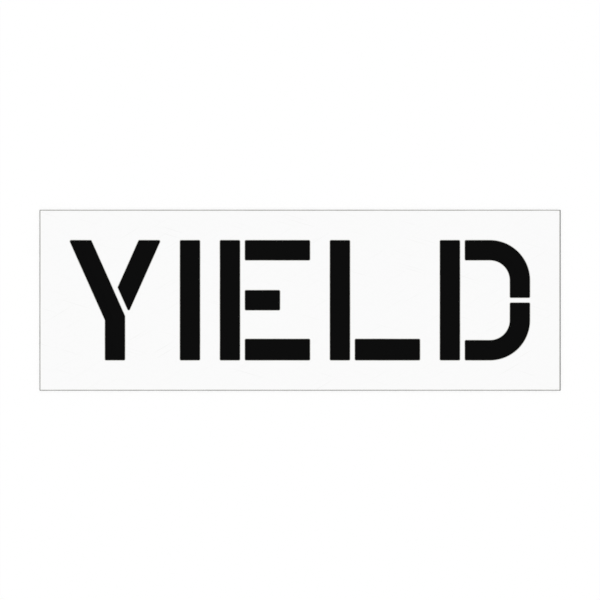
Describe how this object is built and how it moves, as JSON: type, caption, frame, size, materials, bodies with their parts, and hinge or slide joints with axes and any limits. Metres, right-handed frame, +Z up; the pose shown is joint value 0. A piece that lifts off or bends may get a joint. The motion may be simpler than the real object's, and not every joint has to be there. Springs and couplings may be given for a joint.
{
  "type": "road marking stencil",
  "caption": "Flat rectangular plastic sheet with a word cut through it in stencil strokes, laid on the road to paint the word through its openings.",
  "frame": {"origin": "middle of the underside, which lies on the road", "axes": "+X along the word as it reads, +Y up the letters, +Z up from the road through the sheet"},
  "size_m": [1.3208, 0.4572, 0.0032],
  "materials": {
    "polyethylene_sheet": "satin white extruded polyethylene with routed edges"
  },
  "bodies": {
    "root": {"stencil_sheet": "polyethylene_sheet"}
  },
  "joints": []
}
